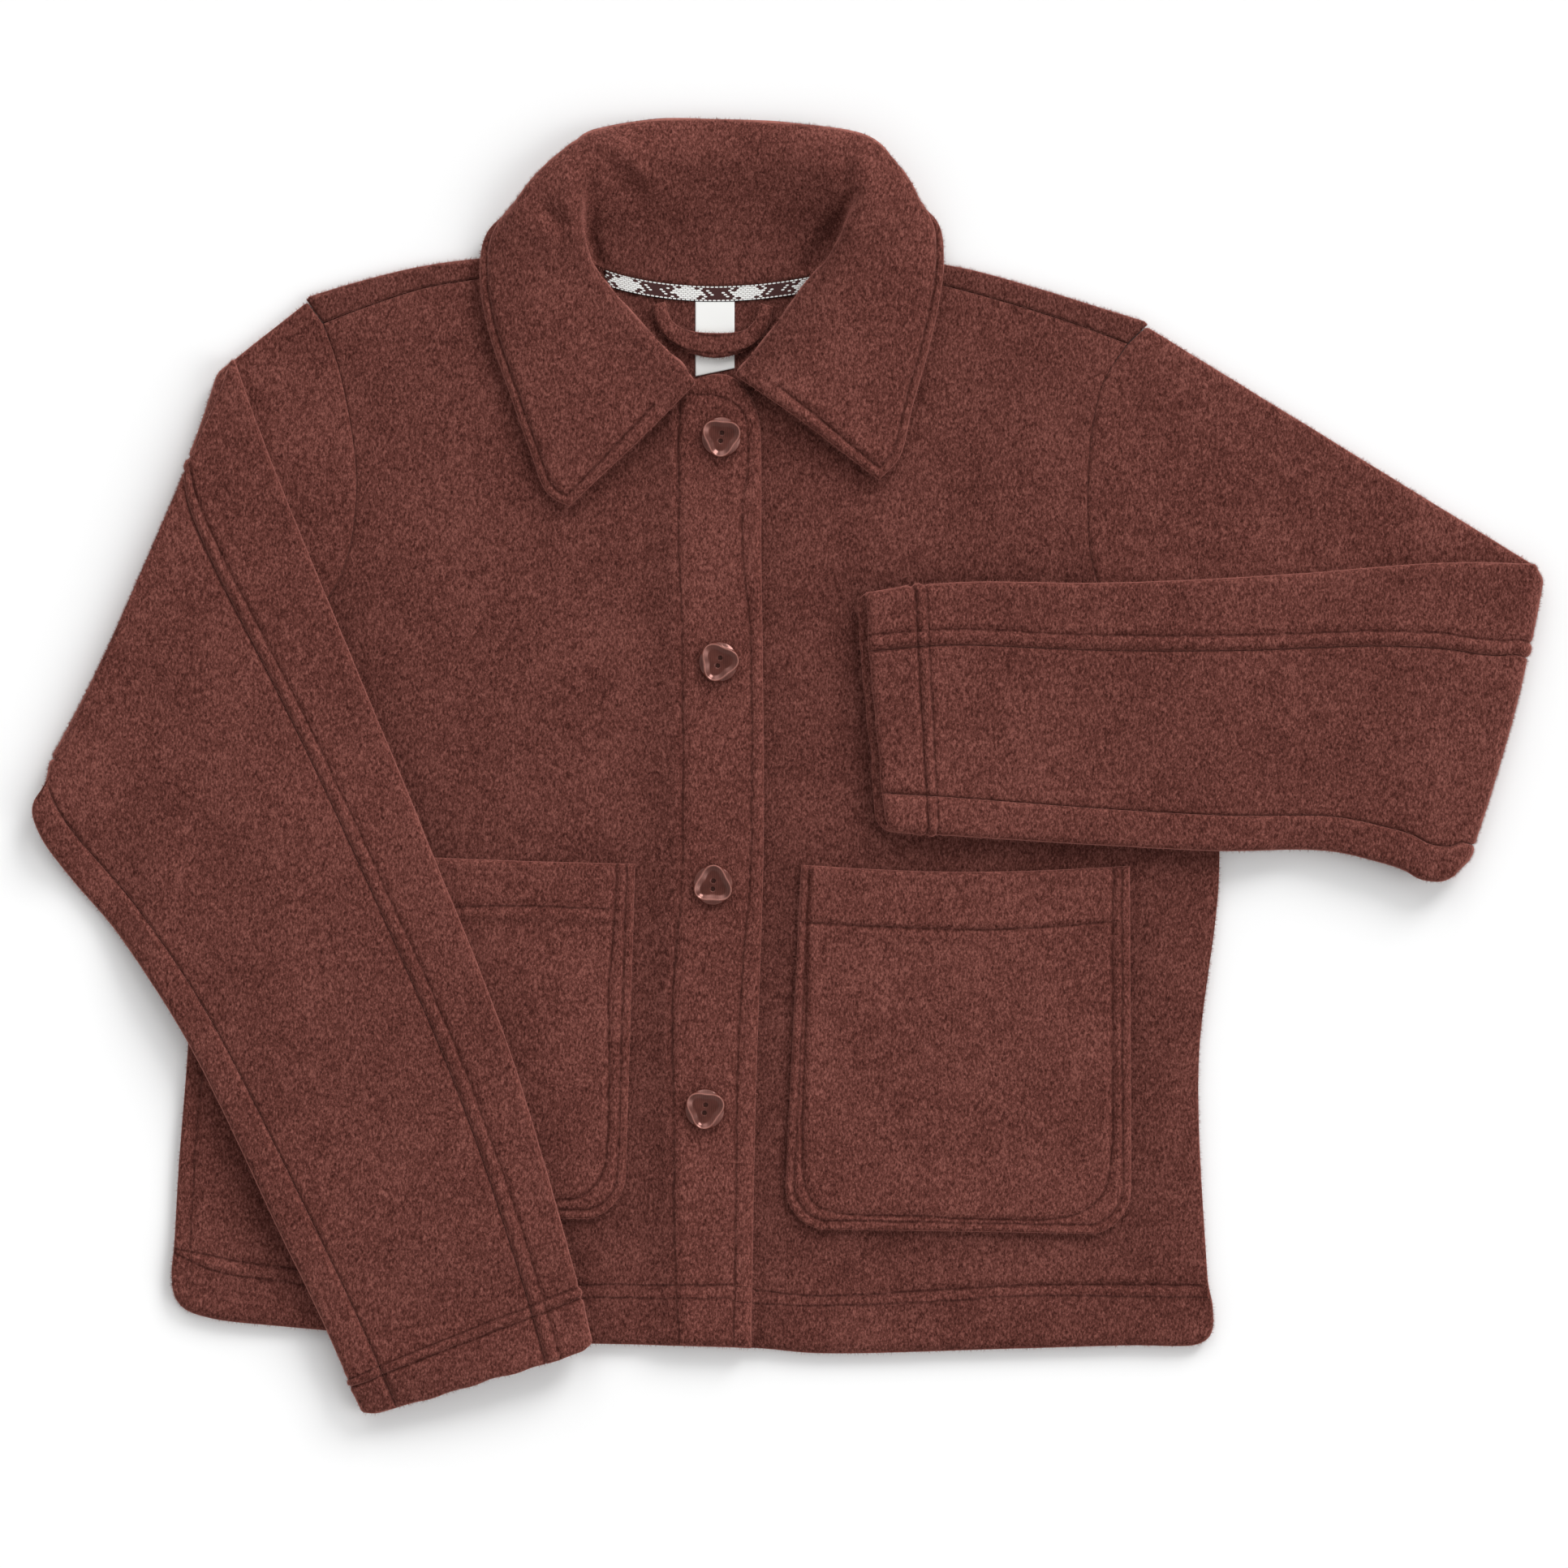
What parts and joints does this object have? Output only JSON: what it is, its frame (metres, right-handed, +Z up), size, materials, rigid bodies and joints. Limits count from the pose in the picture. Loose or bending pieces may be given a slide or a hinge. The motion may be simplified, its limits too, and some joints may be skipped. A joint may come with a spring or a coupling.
{
  "type": "folded wool fleece jacket",
  "caption": "Short boxy wool fleece jacket with a turn-down collar, buttoned front and patch pockets, laid flat with both sleeves folded over the front.",
  "frame": {"origin": "middle of the laid-out garment's bounding box in plan, on the surface that it lies on", "axes": "+Z up from the surface, +Y from the hem towards the collar, +X towards the wearer's left side"},
  "size_m": [0.8152, 0.6992, 0.025],
  "materials": {
    "fleece": "matt, napped wool fleece",
    "neck_tape": "woven, matt",
    "label": "woven, smooth",
    "button": "glossy, horn grain"
  },
  "bodies": {
    "root": {"front_right": "fleece", "front_left": "fleece", "back": "fleece", "pocket_right": "fleece", "pocket_left": "fleece", "sleeve_right_top": "fleece", "sleeve_right_under": "fleece", "sleeve_left_top": "fleece", "sleeve_left_under": "fleece", "collar": "fleece", "neck_tape": "neck_tape", "label": "label", "hang_loop": "fleece", "button_1": "button", "button_2": "button", "button_3": "button", "button_4": "button"}
  },
  "joints": []
}
